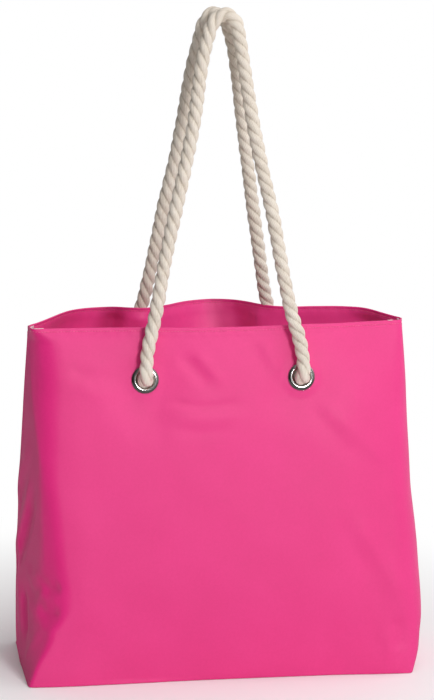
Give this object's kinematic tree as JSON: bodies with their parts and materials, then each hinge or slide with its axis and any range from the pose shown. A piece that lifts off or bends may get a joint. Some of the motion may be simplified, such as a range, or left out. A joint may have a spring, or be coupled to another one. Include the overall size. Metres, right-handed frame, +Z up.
{
  "type": "beach bag",
  "caption": "Boxed-bottom fabric beach tote with an open mouth, metal eyelets and twisted rope handles knotted inside.",
  "frame": {"origin": "centre of the underside, on the ground", "axes": "+Z up, -Y out of the front wall, +X to the right seen from the front"},
  "size_m": [0.4104, 0.1686, 0.6778],
  "materials": {
    "coated_fabric": "plain-woven polyester with a coated back, soft satin",
    "hem_fabric": "the same fabric, folded and edge-stitched",
    "binding_tape": "pale woven binding tape",
    "nickel": "polished nickel plate",
    "cotton_rope": "matte three-strand twisted cotton"
  },
  "bodies": {
    "bag": {"bottom_panel": "coated_fabric", "left_side_panel": "coated_fabric", "right_side_panel": "coated_fabric", "left_side_seam_tape": "binding_tape", "right_side_seam_tape": "binding_tape", "left_corner_seam_tape": "binding_tape", "right_corner_seam_tape": "binding_tape"},
    "front_wall": {"front_panel": "coated_fabric", "front_hem": "hem_fabric", "front_left_eyelet": "nickel", "front_left_washer": "nickel", "front_left_knot": "cotton_rope", "front_right_eyelet": "nickel", "front_right_washer": "nickel", "front_right_knot": "cotton_rope"},
    "back_wall": {"back_panel": "coated_fabric", "back_hem": "hem_fabric", "back_left_eyelet": "nickel", "back_left_washer": "nickel", "back_left_knot": "cotton_rope", "back_right_eyelet": "nickel", "back_right_washer": "nickel", "back_right_knot": "cotton_rope"},
    "front_handle": {"front_handle_rope": "cotton_rope"},
    "back_handle": {"back_handle_rope": "cotton_rope"}
  },
  "joints": [
    {"name": "front_wall_opens", "type": "hinge", "parent": "bag", "child": "front_wall", "pos_m": [0, -0.0748, 0.0031], "axis": [1, 0, 0], "range_deg": [0, 6]},
    {"name": "back_wall_opens", "type": "hinge", "parent": "bag", "child": "back_wall", "pos_m": [0, 0.0748, 0.0031], "axis": [-1, 0, 0], "range_deg": [0, 6]},
    {"name": "front_handle_swings", "type": "hinge", "parent": "front_wall", "child": "front_handle", "pos_m": [0, -0.05872, 0.31164], "axis": [1, 0, 0], "range_deg": [0, 145]},
    {"name": "back_handle_swings", "type": "hinge", "parent": "back_wall", "child": "back_handle", "pos_m": [0, 0.0685, 0.31116], "axis": [-1, 0, 0], "range_deg": [0, 145]}
  ]
}
